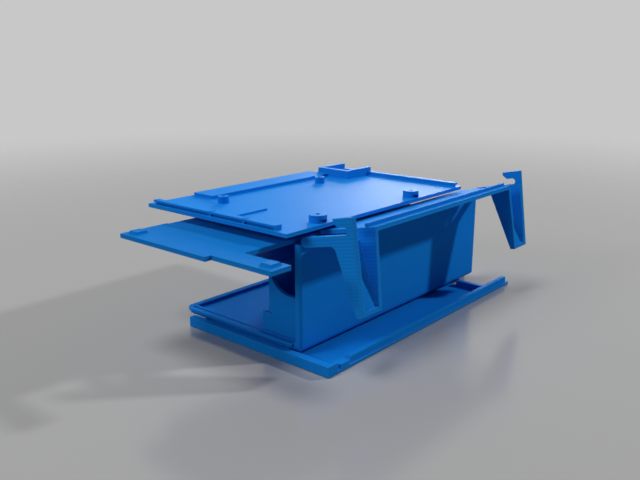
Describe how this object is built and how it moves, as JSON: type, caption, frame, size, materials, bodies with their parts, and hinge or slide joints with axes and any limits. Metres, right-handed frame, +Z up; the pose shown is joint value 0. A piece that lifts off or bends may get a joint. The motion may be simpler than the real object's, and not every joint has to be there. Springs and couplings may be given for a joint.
{
  "type": "single-board computer case",
  "caption": "Printed single-board computer case, opened: a sliding base cover, a body with bays, a hinged hook bracket, a mid plate and a board plate with screw bosses.",
  "frame": {"origin": "centre of the base cover's underside", "axes": "+X along the long side, -Y towards the hook bracket at the front, +Z up"},
  "size_m": [0.1612, 0.0978, 0.0551],
  "materials": {
    "printed_plastic": "satin, printed in fine layers"
  },
  "bodies": {
    "cover": {"base_cover": "printed_plastic"},
    "case": {"case_body": "printed_plastic", "mid_plate": "printed_plastic", "board_plate": "printed_plastic"},
    "bracket": {"hook_bracket": "printed_plastic"}
  },
  "joints": [
    {"name": "case_slide", "type": "slide", "parent": "cover", "child": "case", "axis": [0, 1, 0], "range_m": [0, 0.025]},
    {"name": "bracket_hinge", "type": "hinge", "parent": "case", "child": "bracket", "pos_m": [0, -0.02115, 0.0434], "axis": [1, 0, 0], "range_deg": [-12, 35]}
  ]
}
